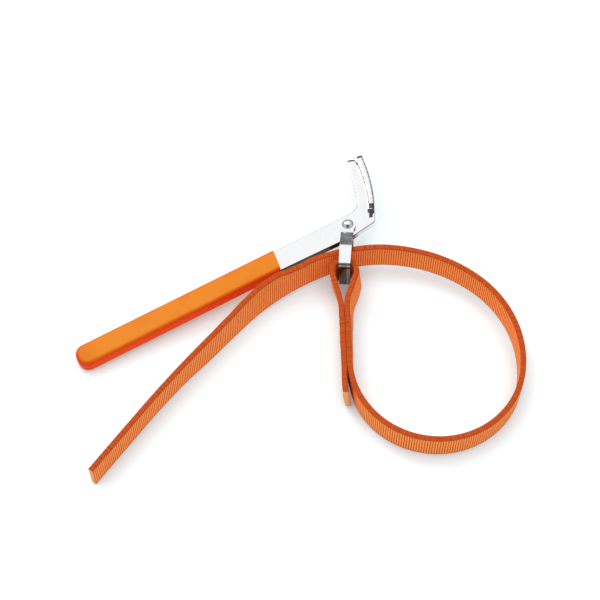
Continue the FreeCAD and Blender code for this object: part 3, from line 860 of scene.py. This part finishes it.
# %% The weave
def make_webbing_cloth():
    material, tree = new_material(
        "woven_webbing", Sheen_Weight=0.01, Sheen_Roughness=0.5, Specular_IOR_Level=0.03,
    )
    uv = add_node(tree, "ShaderNodeUVMap", uv_map="weave").outputs["UV"]
    parts = add_node(tree, "ShaderNodeSeparateXYZ", in_Vector=uv).outputs
    yarns = use_group(tree, spun_fibre, Vector=uv, Fineness=2600.0, Stretch=(0.25, 1.0, 1.0))
    beside = maths(tree, "ABSOLUTE", parts["Y"])
    rim = rescale(tree, beside, 0.0, 1.0, RIB_FULL * MM, (RIB_FADE + 0.3) * MM)
    face = ribbed_face(tree, uv, parts["X"], yarns)
    woven = mix_colours(tree, rim, face, ramp(tree, yarns, RIM_COLOURS))
    half_long = web_long * MM / 2
    from_middle = maths(tree, "ABSOLUTE", maths(tree, "SUBTRACT", parts["X"], half_long))
    cut = maths(tree, "GREATER_THAN", from_middle, half_long - CUT_REACH)
    feed_shader(
        tree,
        colour=mix_colours(tree, cut, woven, ramp(tree, yarns, CUT_COLOURS)),
        roughness=rescale(tree, yarns, 0.6, 0.85),
        normal=bump(tree, yarns, YARN_DEEP),
    )
    return material


webbing.data.materials.append(make_webbing_cloth())
print("webbing's finish:", webbing.data.materials[0].name)

# %% [markdown]
# ## Sewing thread
# The thread is twisted, so its highlights run in short slanted dashes. A wave texture on
# the piece's own coordinates gives that twist, as a bump and as painted highlights in the
# colour.

# %% The thread
THREAD_COLOURS = [(0.0, (0.72, 0.22, 0.05)), (1.0, (0.95, 0.55, 0.26))]
TWIST_DEEP = 0.1 * MM


def make_sewing_thread():
    material, tree = new_material("sewing_thread", Sheen_Weight=0.2)
    place = own_place(tree)
    twist = add_node(
        tree, "ShaderNodeTexWave", wave_type="BANDS", bands_direction="DIAGONAL",
        in_Vector=place, in_Scale=900.0, in_Distortion=0.6,
    ).outputs["Fac"]
    fuzz = use_group(tree, spun_fibre, Vector=place, Fineness=3000.0, Stretch=(1.0, 1.0, 0.3))
    feed_shader(
        tree,
        colour=ramp(tree, twist, THREAD_COLOURS),
        roughness=rescale(tree, fuzz, 0.5, 0.8),
        normal=bump(tree, twist, TWIST_DEEP),
    )
    return material


# %% [markdown]
# ## Dressing the imported nodes
# Steel parts and grip have the right shape already, so they only get their finish. The
# walls of the slot in the lever get a rougher steel painted nearly black: painted shade in
# the recess. They are picked out by where they are and by which way they face, towards the
# slot's middle.

# %% Dress the imported nodes
SLOT_MIDDLE = on_lever(16.7, 1.1)
SLOT_REACH = 4.0
UPRIGHT_WITHIN = 0.5


def dress(node, material):
    mesh = frame["nodes"][node].data
    mesh.materials.clear()
    mesh.materials.append(material)
    print(node, "gets", material.name)
    return mesh


def on_slot_wall(face):
    inwards = SLOT_MIDDLE - face.center
    inwards -= lever_up * inwards.dot(lever_up)
    near = inwards.length < SLOT_REACH * MM and inwards.dot(face.normal) > 0
    return near and abs(face.normal.dot(lever_up)) < UPRIGHT_WITHIN


lever = dress("lever_plate", steel_lever)
# painted shade: the slot's walls are a rougher steel painted nearly black
lever.materials.append(make_plated_steel("slot_wall_shade", 90.0, haze=0.3, side=0.1, edge=0.1))
for face in lever.polygons:
    face.material_index = int(on_slot_wall(face))
print("faces on the slot's walls:", sum(face.material_index for face in lever.polygons))
dress("jaw_shoe", steel_jaw)
dress("link", steel_link)
dress("pivot_rivet", steel_rivet)
dress("grip", vinyl)


# %% [markdown]
# The stitches have to lean with the webbing that they hold, so they are a copy of the
# packed stitches, merged and moved by the same rule.

# %% Lean the stitches
def make_stitches():
    bm = bmesh.new()
    bm.from_mesh(frame["nodes"]["stitching"].data)
    bmesh.ops.remove_doubles(bm, verts=bm.verts, dist=0.01 * MM)
    for vert in bm.verts:
        place = (vert.co - sling_centre) / MM
        point = Vector((place.dot(plane_right), place.dot(plane_ahead)))
        height = place.dot(plane_up)
        vert.co = in_plane(point + lean_at(point, 0, height), height)
    stitches = finish_piece(bm, "seam_stitches")
    stitches.data.materials.append(make_sewing_thread())
    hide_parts("stitching")
    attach(stitches, "strap")


make_stitches()

# %% [markdown]
# ## Table, light and camera
# The wrench lies on a white sheet under one soft lamp that stands behind it on the left,
# so the shadows are pale and fall to the right and forward. A second lamp could open the
# shadows, but it would add its own. The sheet glows faintly instead, as paper on a light
# table does, and the glow fades close under the tool: a painted contact shadow, drawn as a
# thin line.
# The camera stands well back with a long lens, which keeps near and far ends of the tool
# nearly to scale.

# %% The table
SHEET_HALF = 2.0
SHEET_TONES = [(0.0, (0.54, 0.59, 0.60)), (1.0, (0.56, 0.61, 0.62))]
CONTACT_REACH = 16.0 * MM
GLOW_AND_CONTACT_SHADOW = [(0.3, (0.195, 0.215, 0.220)), (0.88, (0.578, 0.640, 0.657))]


def make_table():
    bm = bmesh.new()
    bmesh.ops.create_grid(bm, x_segments=1, y_segments=1, size=SHEET_HALF)
    table = finish_piece(bm, "table")
    material, tree = new_material("white_sheet", Roughness=0.9, Emission_Strength=1.0)
    sockets = tree.nodes["Principled BSDF"].inputs
    # painted contact shadow: the sheet's glow fades where the tool is close above it
    sky = add_node(tree, "ShaderNodeAmbientOcclusion", in_Distance=CONTACT_REACH, samples=8)
    feed(tree, ramp(tree, sky.outputs["AO"], GLOW_AND_CONTACT_SHADOW), sockets["Emission Color"])
    grain = noise(tree, own_place(tree), 400.0)
    feed(tree, ramp(tree, grain, SHEET_TONES), sockets["Base Color"])
    table.data.materials.append(material)


make_table()

# %% The lamp
LAMP_PLACE = Vector((-0.7, 0.75, 1.1))
LAMP_SIZE = 0.6
LAMP_POWER = 7


def add_lamp():
    lamp = bpy.data.lights.new("window", "AREA")
    lamp.shape = "DISK"
    lamp.size = LAMP_SIZE
    lamp.energy = LAMP_POWER
    holder = bpy.data.objects.new("window", lamp)
    holder.location = LAMP_PLACE
    holder.rotation_euler = (-LAMP_PLACE).to_track_quat("-Z", "Y").to_euler()
    scene.collection.objects.link(holder)


add_lamp()
print("lamp %.2f m from the wrench" % LAMP_PLACE.length)

# %% [markdown]
# Bright metal shows the room, so the room matters more than the lamp. It is white
# overhead. Low down it is darker, which draws a thin line round every polished edge, and
# the spot where the camera stands is dark too, which shades what is turned to it.

# %% The room
VIEW_HEIGHT_ANGLE = 61.0
view_back = Vector((0, -cosd(VIEW_HEIGHT_ANGLE), sind(VIEW_HEIGHT_ANGLE)))
LOW_LIGHT = 0.3
LOW_ENDS = 0.08
LOW_FADES = 0.42
SPOT_LIGHT = 0.22
SPOT_FULL = 20
SPOT_FADES = 34


def make_room():
    world = bpy.data.worlds.new("studio")
    scene.world = world
    world.use_nodes = True
    tree = world.node_tree
    way = tree.nodes.new("ShaderNodeTexCoord").outputs["Generated"]
    height = add_node(tree, "ShaderNodeSeparateXYZ", in_Vector=way).outputs["Z"]
    low = rescale(tree, height, LOW_LIGHT, 1.0, LOW_ENDS, LOW_FADES, "SMOOTHSTEP")
    towards = vector_maths(tree, "DOT_PRODUCT", way, view_back, "Value")
    spot = rescale(
        tree, towards, 1.0, SPOT_LIGHT, cosd(SPOT_FADES), cosd(SPOT_FULL), "SMOOTHSTEP",
    )
    background = tree.nodes["Background"].inputs
    feed(tree, maths(tree, "MULTIPLY", low, spot), background["Strength"])
    background["Color"].default_value = (1, 1, 1, 1)


make_room()
scene.view_settings.view_transform = "Standard"

# %% The camera
VIEW_DISTANCE = 1.05
LENS = 100.68
SENSOR = 36.0
AIM_LEFT = 30.18
AIM_BEFORE = 44.33
aim = Vector((rivet.x - AIM_LEFT * MM, rivet.y - AIM_BEFORE * MM, 0.0))


def add_camera():
    lens = bpy.data.cameras.new("catalogue_view")
    lens.lens = LENS
    lens.sensor_width = SENSOR
    camera = bpy.data.objects.new("catalogue_view", lens)
    camera.location = aim + view_back * VIEW_DISTANCE
    camera.rotation_euler = (-view_back).to_track_quat("-Z", "Y").to_euler()
    scene.collection.objects.link(camera)
    scene.camera = camera
    print("camera at", [round(v, 3) for v in camera.location])


add_camera()
